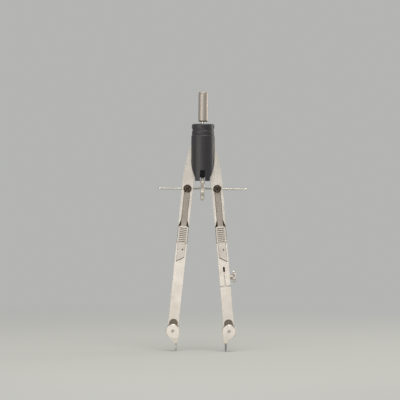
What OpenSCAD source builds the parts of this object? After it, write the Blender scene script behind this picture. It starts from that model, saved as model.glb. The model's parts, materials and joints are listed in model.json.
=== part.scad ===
// Bow compass with a centre wheel, quick-release levers and jointed points.
// Millimetres. +Z is up along the handle, -Y is the front, +X is the lead side.
// The origin lies on the paper, midway between the two points.

/* [Handle] */
// Diameter of the handle
handle_d = 6.4; // [5.6:0.1:7.4]
// Length of the handle
handle_len = 19.5; // [14:0.5:26]
// Distance from the handle's top to its rim groove
rim_groove_drop = 1.4; // [1.2:0.1:2.5]
// Diameter of the stem between handle and head
stem_d = 2.9; // [2.4:0.1:3.4]
// Length of the stem that shows
stem_gap = 1.5; // [1:0.1:3]
// Depth of the stem inside the handle
stem_in_handle = 8; // [6:0.5:12]

/* [Head] */
// Diameter of the head
head_d = 16; // [15.4:0.1:18]
// Diameter of the head's collar above the upper ring groove
head_collar_d = 14.8; // [13.6:0.1:15.2]
// Height of the head above the leg pivots
head_above = 7.7; // [7.2:0.1:10]
// Length of the head below the leg pivots
head_below = 29.5; // [28:0.5:30.5]
// Width of the head across its lower ends
head_foot_w = 9.8; // [9:0.1:11]
// Distance from the leg pivots down to the end of the straight sides
head_straight = 15.8; // [14:0.1:18]
// Radius of the curve that draws the sides in
head_side_r = 26; // [22:1:34]
// Spacing of the two ring grooves
ring_pitch = 3; // [2.4:0.1:3.4]
// Outer diameter of the brass bush in the head
bush_d = 5.2; // [4.8:0.1:6]

/* [Legs] */
// Angle of each leg to the handle at rest, in degrees
leg_tilt = 5.35; // [5:0.05:6]
// Distance between the two leg pivots
pivot_spread = 7.6; // [7.2:0.1:8]
// Distance along the leg from its pivot to its knee
leg_len = 128.7; // [124:0.1:136]
// Offset of the leg's centre line outwards from its pivot
leg_off = 2.67; // [2.4:0.01:3]
// Width of the upper leg
leg_top_w = 7.4; // [7.2:0.1:7.8]
// Width of the lower leg
leg_w = 7; // [6.8:0.1:7.2]
// Thickness of the leg
leg_t = 4.4; // [4.3:0.1:4.8]
// Distance from the pivot to the end of the curved shoulder
shoulder_v = 31; // [29:0.5:32]
// Radius of the curved shoulder
shoulder_r = 105; // [95:1:120]
// Diameter of the leg pivot pins
pivot_pin_d = 2.2; // [1.8:0.1:2.6]
// Thickness of the pivot washers
washer_t = 0.25; // [0.2:0.05:0.4]
// Outer diameter of the pivot washers
washer_d = 5.2; // [4.4:0.1:5.8]

/* [Spindle] */
// Distance from the pivot along the leg to the spindle nut
nut_v = 35.1; // [34.6:0.1:36]
// Diameter of the spindle
spindle_d = 1.5; // [1.3:0.05:1.9]
// Length of the spindle over its stops
spindle_len = 58.2; // [56:0.2:64]
// Length of each spindle stop
stop_len = 1.6; // [1.4:0.1:2.4]
// Diameter of the spigot that carries a stop
spigot_d = 0.8; // [0.7:0.05:0.9]
// Diameter of the thumb wheel
wheel_d = 15.3; // [14:0.1:15.4]
// Width of the thumb wheel
wheel_w = 2.45; // [2:0.05:2.6]
// Width of the head's slot for the wheel
wheel_slot_w = 3.3; // [3.2:0.1:3.6]
// Distance from the leg pivots down to the top of that slot
wheel_slot_drop = 22.5; // [21.5:0.1:22.8]
// Diameter of the spindle nut
nut_d = 5.3; // [4.8:0.1:5.4]
// Diameter of the half nut's body
half_nut_d = 2.9; // [2.7:0.1:3.1]
// Diameter of the half nut's neck
neck_d = 2; // [1.8:0.1:2.2]

/* [Release levers] */
// Distance from the pivot along the leg to the lever's cross pin
lever_pin_v = 51; // [50:0.1:52]
// Diameter of the lever's cross pin
lever_pin_d = 0.9; // [0.7:0.05:1]
// Depth of the cross pin's axis behind the leg's front
lever_pin_depth = 1.05; // [1:0.05:1.1]
// Width of the lever's tongue
tongue_w = 3.6; // [3.4:0.1:4]
// Distance along the leg to the start of the ribbed pad
pad_start = 60.2; // [59.5:0.1:61]
// Length of the ribbed pad
pad_len = 10.4; // [10:0.1:11]
// Width of the ribbed pad
pad_w = 6.5; // [6:0.1:6.6]
// Number of grooves across the pad
pad_grooves = 8; // [6:1:8]
// Width of one groove
groove_w = 0.55; // [0.4:0.05:0.65]
// Length of one groove, which ends short of the pad's sides
groove_len = 4.6; // [4:0.1:5.4]
// Width of the lever's tail
tail_w = 4.8; // [4.6:0.1:5]
// Length of the tail below the pad on its inner side
tail_len = 9.2; // [8.6:0.1:10]
// Extra length of the tail on its outer side
tail_slant = 2.9; // [1.5:0.1:3.1]
// Distance from the pad's end to the rivet
rivet_drop = 4.5; // [4:0.1:5.5]
// Offset of the rivet from the leg's centre line, towards +X
rivet_off = 0.85; // [0:0.05:0.9]
// Diameter of the rivet
rivet_d = 1; // [0.8:0.05:1.1]
// Thickness of the leaf spring
leaf_t = 0.25; // [0.2:0.05:0.3]

/* [Lead insert] */
// Distance along the leg to the joint between leg and insert
joint_v = 98.6; // [97:0.1:100]
// Gap that shows at the joint
joint_gap = 0.6; // [0.3:0.1:0.8]
// Length of the insert's tongue
insert_tongue_len = 9.6; // [9.2:0.1:10]
// Depth of the socket for that tongue in the leg
socket_len = 12.4; // [12:0.1:13]
// Width of the insert's tongue
insert_tongue_w = 3.8; // [3.4:0.1:4]
// Thickness of the insert's tongue
insert_tongue_t = 2.2; // [2:0.1:2.4]
// Distance from the joint up to the clamp screw
clamp_rise = 5.3; // [5:0.1:6.5]
// Diameter of the clamp screw's thread
clamp_thread_d = 2; // [1.8:0.1:2.4]
// Diameter of the clamp screw's collar
clamp_collar_d = 3.3; // [3:0.1:3.6]
// Length of the clamp screw's collar
clamp_collar_len = 1.75; // [1.5:0.05:2.2]
// Diameter of the clamp screw's head
clamp_head_d = 7.5; // [7:0.1:8]
// Thickness of the clamp screw's head
clamp_head_t = 1.8; // [1.5:0.1:2.2]

/* [Knees] */
// Height of the knee pivots above the paper
knee_h = 13.41; // [13:0.05:14]
// Diameter of the knee discs
knee_d = 9.3; // [9.1:0.1:9.8]
// Thickness of a knee over both discs
knee_t = 4.2; // [4:0.1:4.4]
// Thickness of the leg's tongue inside the knee
knee_tongue_t = 1.3; // [1.1:0.05:1.5]
// Diameter of the knee pins
knee_pin_d = 2; // [1.6:0.1:2.4]
// Inward offset of the points from the knee pivots
point_in = 2.1; // [1.9:0.05:2.3]
// Height of the noses' ends above the paper
nose_h = 5.5; // [5:0.1:6]
// Width of the pocket above each knee
pocket_w = 5.5; // [5:0.1:5.6]
// Distance from the knee pivot up to the pocket's round top
pocket_rise = 8; // [7.6:0.1:9]
// Diameter of the needle's shank
needle_d = 1.1; // [1:0.05:1.2]
// Diameter of the needle's shoulder
needle_shoulder_d = 1.4; // [1.3:0.05:1.6]
// Diameter of the lead
lead_d = 1.2; // [1:0.05:1.4]
// Width and depth of the needle's nose at its end
needle_nose_d = 2.6; // [2.4:0.1:2.8]
// Width and depth of the lead's round nose
lead_nose_d = 3; // [2.8:0.1:3.2]
// Diameter of the grub screws that hold the points
grub_d = 1.1; // [1:0.05:1.3]

/* [Hidden] */
$fn = 64;
fine = 720;
// Radial clearance of a shaft that turns or slides in its bore
run_gap = 0.05;
// Clearance of a piece that is pressed or seated
seat_gap = 0.02;
// Clearance between faces that move past each other
side_gap = 0.15;
// How far a cut runs past the face that it opens
over = 1;

pivot_x = pivot_spread / 2;
pivot_z = knee_h + leg_len * cos(leg_tilt) - leg_off * sin(leg_tilt);
knee_x = pivot_x + leg_len * sin(leg_tilt) + leg_off * cos(leg_tilt);
nut_x = pivot_x + nut_v * sin(leg_tilt) + leg_off * cos(leg_tilt);
nut_z = pivot_z - nut_v * cos(leg_tilt) + leg_off * sin(leg_tilt);
front = -leg_t / 2;
rear = leg_t / 2;

// Gear teeth on the leg tops keep the handle midway between the legs
teeth = 12;
tooth_size = pivot_spread / teeth;
pressure_angle = 25;
tooth_rise = 0.8 * tooth_size;
tooth_root = 1.05 * tooth_size;
tooth_bury = 0.3;
// Share of half the pitch that a tooth fills, less than one for play
tooth_share = 0.86;
pitch_r = pivot_x;
base_r = pitch_r * cos(pressure_angle);
tip_r = pitch_r + tooth_rise;
root_r = pitch_r - tooth_root;
tooth_half = 360 / teeth / 4 * tooth_share;
left_teeth = 4;
right_teeth = left_teeth + 1;

// Head
head_top = pivot_z + head_above;
head_bottom = pivot_z - head_below;
slot_half = leg_t / 2 + washer_t + seat_gap;
slot_top = pivot_z + tip_r + 2 * side_gap;
ring_rise = 0.3;
ring_low = pivot_z + ring_rise;
ring_high = ring_low + ring_pitch;
ring_depth = 0.4;
ring_half = 0.35;
collar_chamfer = 0.6;
pin_front = 5.5;
// A web closes the wheel's slot at the rear, above the height that the wheel reaches with open legs
web_t = 0.9;
web_front = head_d / 2 - web_t;
open_tilt = 24.7;
wheel_open_z = pivot_z - nut_v * cos(open_tilt) + leg_off * sin(open_tilt);
web_room = wheel_d / 2 + 2 * side_gap;
wheel_pass = max(0, wheel_open_z + sqrt(max(0, pow(web_room, 2) - pow(web_front, 2))) - head_bottom);
pin_rear = sqrt(pow(head_d / 2, 2) - pow(pivot_x + pivot_pin_d / 2, 2)) - side_gap;

// Handle
handle_bottom = head_top + stem_gap;
handle_top = handle_bottom + handle_len;
handle_foot = 0.7;
handle_rim = 0.4;
handle_groove = 0.25;

// Spindle nut, half nut and the lever's fork, as depths from the mid-plane
nut_r = nut_d / 2;
flange_r = nut_r - run_gap;
spindle_room = spindle_d / 2 + 5 * run_gap;
nut_front = -spindle_d / 2;
fork_play = 0.1;
fork_t = 0.45;
fork_lap = 2;
fork_tip = 0.8;
flange_proud = 0.1;
half_nut_front = nut_front - fork_play;
fork_back = half_nut_front - fork_play;
fork_front = fork_back - fork_t;
flange_back = fork_front - fork_play;
flange_front = front - flange_proud;
spindle_swing = 26;
leg_taper = 10;

// Release lever
tongue_inset = 0.25;
tongue_front = front + tongue_inset;
tongue_t = 1.2;
tongue_lap = 0.5;
crescent_w = 1;
lever_t = 1;
pad_step = 0.6;
// Length over which the leg's rails run out beside the tongue
rail_flare = 4.8;
lever_pin_y = front + lever_pin_depth;
boss_r = lever_pin_y - tongue_front;
pad_proud = 0.2;
lever_back = front + lever_t;
groove_depth = 0.7;
groove_margin = 0.4;
groove_pitch = (pad_len - groove_margin) / pad_grooves;
tongue_end = pad_start - pad_step;
rail_end = pad_start - rail_flare;
tongue_floor = lever_pin_y + boss_r + side_gap;
tail_floor = 0.4;
// The gap at the tail's end is wider than the one at its sides by this factor
tail_room = 3;
pad_end = pad_start + pad_len;
rivet_v = pad_end + rivet_drop;
rivet_sunk = 0.1;
rivet_lip = 0.3;
leaf_w = 2.9;
leaf_bend = 6;
leaf_flat = pad_start + leaf_bend;
leaf_short = 2.5;
leaf_tip = rail_end + leaf_short;
leaf_drop = 1;
leaf_end = 0.4;

// Lead insert
socket_gap = 0.05;
clamp_v = joint_v - clamp_rise;
slit_w = 0.15;
relief_w = 1.1;
relief_len = 3.3;

// Knees
knee_gap = 0.3;
knee_slot = knee_tongue_t / 2 + side_gap;
knee_slot_r = leg_w / 2 + knee_gap;
knee_slot_drop = 1.9;
knee_chamfer = 0.45;
dimple_r = 0.75;
nose_drop = knee_h - nose_h;
nose_lap = 0.2;
touch_r = knee_d / 2 - nose_lap;
nose_taper = knee_d / 2 - nose_lap;
grub_rise = 1.9;
grub_h = nose_h + grub_rise;

nickel = "#cfcac2";
satin = "#b9b4ac";
black_plastic = "#3a383b";
dark_steel = "#4a423c";
steel = "#d8d6d2";
brass = "#c8a95a";
graphite = "#6a6a6c";

// Extrudes an outline in X and Z through the depth from y0 to y1
module plate(y0, y1) {
  translate([0, y1, 0])
    rotate([90, 0, 0])
      linear_extrude(height = y1 - y0)
        children();
}

// Extrudes an outline in Y and Z across the width from x0 to x1
module bar(x0, x1) {
  translate([x0, 0, 0])
    rotate([90, 0, 90])
      linear_extrude(height = x1 - x0)
        children();
}

module rod_y(r, y0, y1) {
  translate([0, y1, 0])
    rotate([90, 0, 0])
      cylinder(r = r, h = y1 - y0);
}

module rod_x(r, x0, x1) {
  translate([x0, 0, 0])
    rotate([0, 90, 0])
      cylinder(r = r, h = x1 - x0);
}

// Sets a piece drawn for the right side on either side
module on_side(right) {
  if (right)
    children();
  else
    mirror([1, 0, 0])
      children();
}

// Leg frame: X is outwards from the leg's centre line, -Z runs down from the pivot
module on_leg(right) {
  on_side(right)
    translate([pivot_x, 0, pivot_z])
      rotate([0, -leg_tilt, 0])
        translate([leg_off, 0, 0])
          children();
}

// Knee frame: X is outwards from the knee pivot, Z is up
module on_knee(right) {
  on_side(right)
    translate([knee_x, 0, knee_h])
      children();
}

module down(v) {
  translate([0, 0, -v])
    children();
}

// Ring that is cut into the head
function ring(z, r_low, r_high) = [[r_low, z - ring_half], [r_low - ring_depth, z], [r_high, z + ring_half]];

// Outline outside one curved side of the head
module head_side_cut() {
  difference() {
    translate([head_foot_w / 2, head_bottom - over])
      square([head_d, head_below - head_straight + over]);
    translate([0, pivot_z - head_straight])
      translate([sqrt(pow(head_d / 2, 2) - pow(slot_half, 2)) - head_side_r, 0])
        circle(r = head_side_r, $fn = fine);
  }
}

module head() {
  band_r = (head_d + head_collar_d) / 4;
  collar_r = head_collar_d / 2;
  color(black_plastic)
    difference() {
      rotate_extrude()
        polygon(concat(
          [[0, head_bottom], [head_d / 2, head_bottom]],
          ring(ring_low, head_d / 2, band_r),
          ring(ring_high, band_r, collar_r),
          [[collar_r, head_top - collar_chamfer], [collar_r - collar_chamfer, head_top], [0, head_top]]
        ));
      translate([-head_d, -slot_half, head_bottom - over])
        cube([2 * head_d, 2 * slot_half, slot_top - head_bottom + over]);
      translate([-wheel_slot_w / 2, -head_d, head_bottom - over])
        cube([wheel_slot_w, head_d + web_front, head_below - wheel_slot_drop + over]);
      translate([-wheel_slot_w / 2, 0, head_bottom - over])
        cube([wheel_slot_w, head_d, wheel_pass + over]);
      for (right = [false, true])
        on_side(right) {
          plate(-head_d, head_d)
            head_side_cut();
          translate([pivot_x, 0, pivot_z])
            rod_y(pivot_pin_d / 2 + seat_gap, -pin_front - seat_gap, head_d);
        }
      translate([0, 0, slot_top - over])
        cylinder(d = bush_d + 2 * seat_gap, h = head_top - slot_top + 2 * over);
    }
}

module handle_insert() {
  color(brass)
    translate([0, 0, slot_top])
      difference() {
        cylinder(d = bush_d, h = head_top - slot_top);
        translate([0, 0, -over])
          cylinder(d = stem_d + 2 * seat_gap, h = head_top - slot_top + 2 * over);
      }
}

module handle_stem() {
  color(steel)
    translate([0, 0, slot_top])
      cylinder(d = stem_d, h = handle_bottom + stem_in_handle - slot_top);
}

module handle() {
  r = handle_d / 2;
  groove_z = handle_top - rim_groove_drop;
  color(nickel)
    difference() {
      rotate_extrude()
        polygon([
          [0, handle_bottom], [r - handle_foot, handle_bottom], [r, handle_bottom + handle_foot],
          [r, groove_z - handle_groove], [r - handle_groove, groove_z], [r, groove_z + handle_groove],
          [r, handle_top - handle_rim], [r - handle_rim, handle_top], [0, handle_top]
        ]);
      translate([0, 0, handle_bottom - over])
        cylinder(d = stem_d + 2 * seat_gap, h = stem_in_handle + seat_gap + over);
    }
}

module pivot_pin(right) {
  color(steel)
    on_side(right)
      translate([pivot_x, 0, pivot_z])
        rod_y(pivot_pin_d / 2, -pin_front, pin_rear);
}

// Two thin washers on each pivot pin, one on either side of the leg
module pivot_washers() {
  color(brass)
    for (right = [false, true], rear_side = [false, true])
      on_side(right)
        translate([pivot_x, (rear_side ? 1 : -1) * (leg_t + washer_t + seat_gap) / 2, pivot_z])
          difference() {
            rod_y(washer_d / 2, -washer_t / 2, washer_t / 2);
            rod_y(pivot_pin_d / 2 + run_gap, -over, over);
          }
}

// Angle by which an involute has turned back at radius r
function involute(r) = let (t = sqrt(max(0, pow(r / base_r, 2) - 1))) t * 180 / PI - atan(t);
function tooth_point(r, side) =
  let (a = side * (tooth_half + involute(pitch_r) - involute(r))) [r * cos(a), r * sin(a)];

module gear_tooth() {
  steps = 3;
  flank = [for (i = [0 : steps]) base_r + (tip_r - base_r) * i / steps];
  radii = concat([root_r - tooth_bury], flank);
  last = len(radii) - 1;
  polygon(concat(
    [for (r = radii) tooth_point(r, -1)],
    [for (i = [0 : last]) tooth_point(radii[last - i], 1)]
  ));
}

// Teeth of a leg, facing the other leg across the handle's axis
module gear_teeth(count) {
  for (i = [0 : count - 1])
    plate(front, rear)
      translate([-leg_off, 0])
        rotate(180 - leg_tilt + (i - (count - 1) / 2) * 360 / teeth)
          gear_tooth();
}

// Outline outside the curved shoulder of a leg
module shoulder_cut() {
  difference() {
    translate([leg_top_w / 2 - shoulder_r / 4, -shoulder_v])
      square([shoulder_r, shoulder_v + over]);
    translate([leg_top_w / 2 - shoulder_r, -shoulder_v])
      circle(r = shoulder_r, $fn = fine);
  }
}

// A leg from its eye down to end_v, with its teeth and no holes
module leg_blank(end_v, count) {
  plate(front, rear)
    translate([-leg_off, 0])
      circle(r = root_r);
  plate(front, rear)
    difference() {
      polygon([
        [-leg_top_w / 2, 0], [leg_top_w / 2, 0],
        [leg_top_w / 2, -rail_end + leg_taper], [leg_w / 2, -rail_end], [leg_w / 2, -end_v],
        [-leg_w / 2, -end_v], [-leg_w / 2, -rail_end], [-leg_top_w / 2, -rail_end + leg_taper]
      ]);
      shoulder_cut();
    }
  gear_teeth(count);
}

// Outline that the spindle sweeps through a leg as it opens, about the nut
module spindle_sweep() {
  reach = leg_top_w;
  fall = reach * tan(spindle_swing) + spindle_room / cos(spindle_swing);
  polygon([
    [0, spindle_room], [reach, spindle_room], [reach, -fall], [0, -spindle_room],
    [-reach, -spindle_room], [-reach, fall]
  ]);
}

// Plan of the lever below its fork, which widens to the pad over flare.
// The room for it in the leg is wider by gap
function lever_plan(gap, flare, pad_half, out) = [
  [-tongue_w / 2 - gap, -nut_v], [tongue_w / 2 + gap, -nut_v],
  [tongue_w / 2 + gap, -pad_start + flare], [pad_half, -pad_start + gap],
  [pad_half + out, -pad_start + gap], [pad_half + out, -pad_end - gap],
  [tail_w / 2 + gap / 2, -pad_end - gap],
  [tail_w / 2 + gap / 2, -pad_end - tail_len - tail_slant - tail_room * gap],
  [-tail_w / 2 - gap / 2, -pad_end - tail_len - tail_room * gap],
  [-tail_w / 2 - gap / 2, -pad_end - gap],
  [-pad_half - out, -pad_end - gap], [-pad_half - out, -pad_start + gap],
  [-pad_half, -pad_start + gap], [-tongue_w / 2 - gap, -pad_start + flare]
];

// What is cut from both legs for the nut, the spindle and the lever
module leg_cuts() {
  translate([-leg_off, 0, 0])
    rod_y(pivot_pin_d / 2 + run_gap, -leg_t, leg_t);
  down(nut_v) {
    rod_y(nut_r + run_gap, -leg_t, leg_t);
    plate(-spindle_room, spindle_room)
      spindle_sweep();
  }
  plate(front - over, tongue_floor)
    intersection() {
      polygon(lever_plan(side_gap, rail_flare, leg_w / 2, over));
      translate([-leg_w, -rail_end])
        square([2 * leg_w, rail_end]);
    }
  plate(front - over, tail_floor)
    intersection() {
      polygon(lever_plan(side_gap, rail_flare, leg_w / 2, over));
      translate([-leg_w, -2 * rail_end])
        square([2 * leg_w, rail_end]);
    }
  translate([0, lever_pin_y, -lever_pin_v])
    rod_x(lever_pin_d / 2 + seat_gap, -leg_w, leg_w);
}

// What is cut from the lower end of a leg or an insert for its knee
module knee_cuts() {
  down(leg_len) {
    rod_y(knee_pin_d / 2 + run_gap, -leg_t, leg_t);
    for (cheek = [[-leg_t, -knee_tongue_t / 2], [knee_tongue_t / 2, leg_t]])
      plate(cheek[0], cheek[1]) {
        circle(r = knee_d / 2 + knee_gap);
        translate([-leg_w, -leg_w])
          square([2 * leg_w, leg_w]);
        translate([-pocket_w / 2, 0])
          square([pocket_w, pocket_rise - pocket_w / 2]);
        translate([0, pocket_rise - pocket_w / 2])
          circle(d = pocket_w);
      }
  }
}

// Round end of a leg or an insert, which goes between the knee's discs
module knee_eye() {
  down(leg_len)
    rod_y(leg_w / 2, front, rear);
}

module left_leg() {
  color(nickel)
    on_leg(false)
      difference() {
        union() {
          leg_blank(leg_len, left_teeth);
          knee_eye();
        }
        leg_cuts();
        knee_cuts();
      }
}

module right_leg() {
  color(nickel)
    on_leg(true)
      difference() {
        leg_blank(joint_v, right_teeth);
        leg_cuts();
        down(joint_v) {
          translate([-insert_tongue_w / 2 - socket_gap, -insert_tongue_t / 2 - socket_gap, -over])
            cube([
              insert_tongue_w + 2 * socket_gap,
              insert_tongue_t + 2 * socket_gap,
              socket_len + over
            ]);
          plate(front - over, 0) {
            translate([-slit_w / 2, -over])
              square([slit_w, socket_len + over]);
            for (end = [relief_w / 2, relief_len - relief_w / 2])
              translate([0, socket_len - end])
                circle(d = relief_w);
            translate([-relief_w / 2, socket_len - relief_len + relief_w / 2])
              square([relief_w, relief_len - relief_w]);
          }
          translate([0, 0, clamp_rise])
            rod_x(clamp_thread_d / 2 + seat_gap, 0, leg_w);
        }
      }
}

module lever_pin(right) {
  color(steel)
    on_leg(right)
      translate([0, lever_pin_y, -lever_pin_v])
        rod_x(lever_pin_d / 2, -leg_w / 2, leg_w / 2);
}

// Fork that reaches round the half nut's neck
module lever_fork() {
  slot = neck_d / 2 + 2 * run_gap;
  plate(fork_front, fork_back)
    difference() {
      translate([-tongue_w / 2, -nut_v - nut_r - fork_lap])
        square([tongue_w, nut_r + fork_lap + fork_tip]);
      translate([-slot, -nut_v])
        square([2 * slot, nut_r]);
      translate([0, -nut_v])
        circle(r = slot);
    }
}

module release_lever(right) {
  rivet_x = right ? rivet_off : -rivet_off;
  color(satin)
    on_leg(right)
      difference() {
        union() {
          lever_fork();
          plate(tongue_front, tongue_front + tongue_t)
            difference() {
              translate([-tongue_w / 2, -tongue_end - tongue_lap])
                square([tongue_w, tongue_end + tongue_lap - nut_v]);
              translate([0, -nut_v])
                circle(r = nut_r + crescent_w);
            }
          translate([0, lever_pin_y, -lever_pin_v])
            rod_x(boss_r, -tongue_w / 2, tongue_w / 2);
          plate(front, lever_back)
            intersection() {
              polygon(lever_plan(0, pad_step, pad_w / 2, 0));
              translate([-leg_w, -2 * tongue_end])
                square([2 * leg_w, tongue_end]);
            }
          plate(front - pad_proud, lever_back)
            translate([-pad_w / 2, -pad_end])
              square([pad_w, pad_len]);
        }
        for (i = [0 : pad_grooves - 1])
          translate([0, front - pad_proud, -pad_start - groove_margin / 2 - groove_pitch * (i + 1 / 2)])
            cube([groove_len, 2 * groove_depth, groove_w], center = true);
        translate([0, lever_pin_y, -lever_pin_v])
          rod_x(lever_pin_d / 2 + run_gap, -leg_w, leg_w);
        translate([rivet_x, 0, -rivet_v])
          rod_y(rivet_d / 2 + seat_gap, front - over, 0);
      }
}

// Leaf spring riveted behind the lever, its free end reaching towards the leg's floor
module lever_spring(right) {
  rivet_x = right ? rivet_off : -rivet_off;
  color(steel)
    on_leg(right)
      difference() {
        bar(-leaf_w / 2, leaf_w / 2)
          polygon([
            [lever_back, -rivet_v - rivet_d - leaf_end], [lever_back, -leaf_flat],
            [lever_back + leaf_drop, -leaf_tip], [lever_back + leaf_drop + leaf_t, -leaf_tip],
            [lever_back + leaf_t, -leaf_flat - leaf_t], [lever_back + leaf_t, -rivet_v - rivet_d - leaf_end]
          ]);
        translate([rivet_x, 0, -rivet_v])
          rod_y(rivet_d / 2 + seat_gap, front - over, leg_t);
      }
}

module lever_rivet(right) {
  rivet_x = right ? rivet_off : -rivet_off;
  color(dark_steel)
    on_leg(right)
      translate([rivet_x, 0, -rivet_v]) {
        rod_y(rivet_d / 2, front + rivet_sunk, lever_back + leaf_t);
        rod_y(rivet_d / 2 + rivet_lip, lever_back + leaf_t, lever_back + 2 * leaf_t);
      }
}

// Barrel that turns in the leg and carries the spindle
module spindle_nut(right) {
  color(satin)
    on_side(right)
      translate([nut_x, 0, nut_z])
        difference() {
          rod_y(nut_r, nut_front, rear);
          rod_y(half_nut_d / 2 + run_gap, nut_front - over, 0);
          rod_x(spindle_d / 2 + run_gap, -nut_d, nut_d);
        }
}

// Flanged plunger whose saddle rides on the spindle's thread
module half_nut(right) {
  color(dark_steel)
    on_side(right)
      translate([nut_x, 0, nut_z])
        difference() {
          union() {
            rod_y(flange_r, flange_front, flange_back);
            rod_y(neck_d / 2, flange_back, half_nut_front);
            rod_y(half_nut_d / 2, half_nut_front, -2 * run_gap);
          }
          rod_x(spindle_d / 2 + run_gap, -nut_d, nut_d);
        }
}

// Domed ends that keep the nuts on the spindle
module spindle_stops() {
  r = spindle_d / 2;
  dome = 0.5;
  color(steel)
    for (right = [false, true])
      on_side(right)
        translate([spindle_len / 2 - stop_len, 0, nut_z])
          rotate([0, 90, 0])
            rotate_extrude()
              polygon([
                [spigot_d / 2 + run_gap, 0], [r, 0], [r, stop_len - dome], [r - dome, stop_len],
                [0, stop_len], [0, stop_len - dome], [spigot_d / 2 + run_gap, stop_len - dome]
              ]);
}

module spindle() {
  half = spindle_len / 2 - stop_len - side_gap / 2;
  spigot = half + stop_len / 2;
  color(steel)
    translate([0, 0, nut_z]) {
      rod_x(spindle_d / 2, -half, half);
      rod_x(spigot_d / 2, -spigot, spigot);
    }
}

module thumb_wheel() {
  r = wheel_d / 2;
  edge = 0.4;
  color(nickel)
    translate([-wheel_w / 2, 0, nut_z])
      rotate([0, 90, 0])
        rotate_extrude()
          polygon([
            [spindle_d / 2 + seat_gap, 0], [r - edge, 0], [r, edge], [r, wheel_w - edge],
            [r - edge, wheel_w], [spindle_d / 2 + seat_gap, wheel_w]
          ]);
}

// Point just inside the knee's disc where a line from p touches, on the inner or outer side
function touch(p, side) =
  let (a = atan2(p[1], p[0]) + side * acos(touch_r / norm(p)))
  [touch_r * cos(a), touch_r * sin(a)];

// Sides of a knee's nose, drawn as the two lines from its end that touch the disc
module nose_outline(nose_w, drop) {
  inner = [-point_in - nose_w / 2, -drop];
  outer = [-point_in + nose_w / 2, -drop];
  polygon([inner, touch(inner, -1), [0, 0], touch(outer, 1), outer]);
}

// Nose of a knee with a flat or a round end
module nose(nose_w, is_round) {
  plate(-knee_t, knee_t)
    nose_outline(nose_w, nose_drop - (is_round ? nose_w / 2 : 0));
  if (is_round)
    translate([-point_in, 0, nose_w / 2 - nose_drop])
      rod_y(nose_w / 2, -knee_t, knee_t);
}

// Disc with a chamfered front edge
module knee_disc() {
  r = knee_d / 2;
  rotate([90, 0, 0])
    rotate_extrude()
      polygon([
        [0, -knee_t / 2], [r, -knee_t / 2], [r, knee_t / 2 - knee_chamfer],
        [r - knee_chamfer, knee_t / 2], [0, knee_t / 2]
      ]);
}

// Depth of a knee: two discs, drawn in towards the end of the nose
module knee_profile(nose_w) {
  y = knee_t / 2;
  polygon([
    [-y, knee_d], [y, knee_d], [y, -nose_taper], [nose_w / 2, -nose_drop],
    [-nose_w / 2, -nose_drop], [-y, -nose_taper]
  ]);
}

module knee(right, nose_w, point_d, is_round) {
  color(nickel)
    on_knee(right)
      difference() {
        union() {
          knee_disc();
          intersection() {
            nose(nose_w, is_round);
            bar(-knee_d, knee_d)
              knee_profile(nose_w);
          }
        }
        plate(-knee_slot, knee_slot) {
          circle(r = knee_slot_r);
          translate([-knee_d, -knee_slot_drop])
            square([2 * knee_d, knee_d]);
        }
        rod_y(knee_pin_d / 2 + seat_gap, -knee_t, knee_t);
        translate([-point_in, 0, -knee_d - nose_drop])
          cylinder(d = point_d + 2 * run_gap, h = knee_d + nose_drop);
        translate([-point_in, 0, grub_h - knee_h])
          rod_y(grub_d / 2 + seat_gap, 0, knee_t);
      }
}

module needle_knee() { knee(false, needle_nose_d, needle_d, false); }

module lead_knee() { knee(true, lead_nose_d, lead_d, true); }

// Rivet with a dimple in its front end
module knee_pin(right) {
  color(satin)
    on_knee(right)
      difference() {
        rod_y(knee_pin_d / 2, -knee_t / 2, knee_t / 2);
        translate([0, -knee_t / 2, 0])
          sphere(r = dimple_r);
      }
}

// Slotted grub screw behind the point that it holds
module clamp_screw(right, nose_w, point_d) {
  depth = knee_t / 2 - (knee_t - nose_w) / 2 * (knee_h - grub_h - nose_taper) / (nose_drop - nose_taper);
  color(steel)
    on_knee(right)
      translate([-point_in, 0, grub_h - knee_h])
        difference() {
          rod_y(grub_d / 2, point_d / 2 + 2 * run_gap, depth - side_gap);
          translate([0, depth - side_gap, 0])
            cube([2 * grub_d, grub_d / 2, grub_d / 4], center = true);
        }
}

// Stepped needle: a plain shank, a thicker shoulder and a fine point
module needle() {
  point_len = 0.6;
  point_r = 0.25;
  step_len = 0.2;
  shoulder_low = 0.7;
  shoulder_top = 2.6;
  top = knee_h - sqrt(pow(knee_slot_r, 2) - pow(point_in, 2)) - needle_d / 2;
  color(steel)
    translate([-knee_x + point_in, 0, 0])
      rotate_extrude()
        polygon([
          [0, 0], [point_r, point_len], [point_r, shoulder_low],
          [needle_shoulder_d / 2, shoulder_low + step_len], [needle_shoulder_d / 2, shoulder_top],
          [needle_d / 2, shoulder_top + step_len], [needle_d / 2, top], [0, top]
        ]);
}

// Lead sharpened to a cone
module lead() {
  cone = 1.6;
  blunt = 0.15;
  top = knee_h - sqrt(pow(knee_slot_r, 2) - pow(point_in - lead_d / 2, 2)) - side_gap;
  color(graphite)
    translate([knee_x - point_in, 0, 0])
      rotate_extrude()
        polygon([[0, 0], [blunt, 0], [lead_d / 2, cone], [lead_d / 2, top], [0, top]]);
}

// Lower part of the lead leg, with a flat tongue that goes up into the leg
module lead_insert() {
  bar_top = joint_v + joint_gap;
  color(nickel)
    on_leg(true)
      difference() {
        union() {
          plate(front, rear)
            translate([-leg_w / 2, -leg_len])
              square([leg_w, leg_len - bar_top]);
          knee_eye();
          translate([-insert_tongue_w / 2, -insert_tongue_t / 2, -bar_top - over])
            cube([insert_tongue_w, insert_tongue_t, insert_tongue_len + over]);
        }
        knee_cuts();
      }
}

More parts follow.
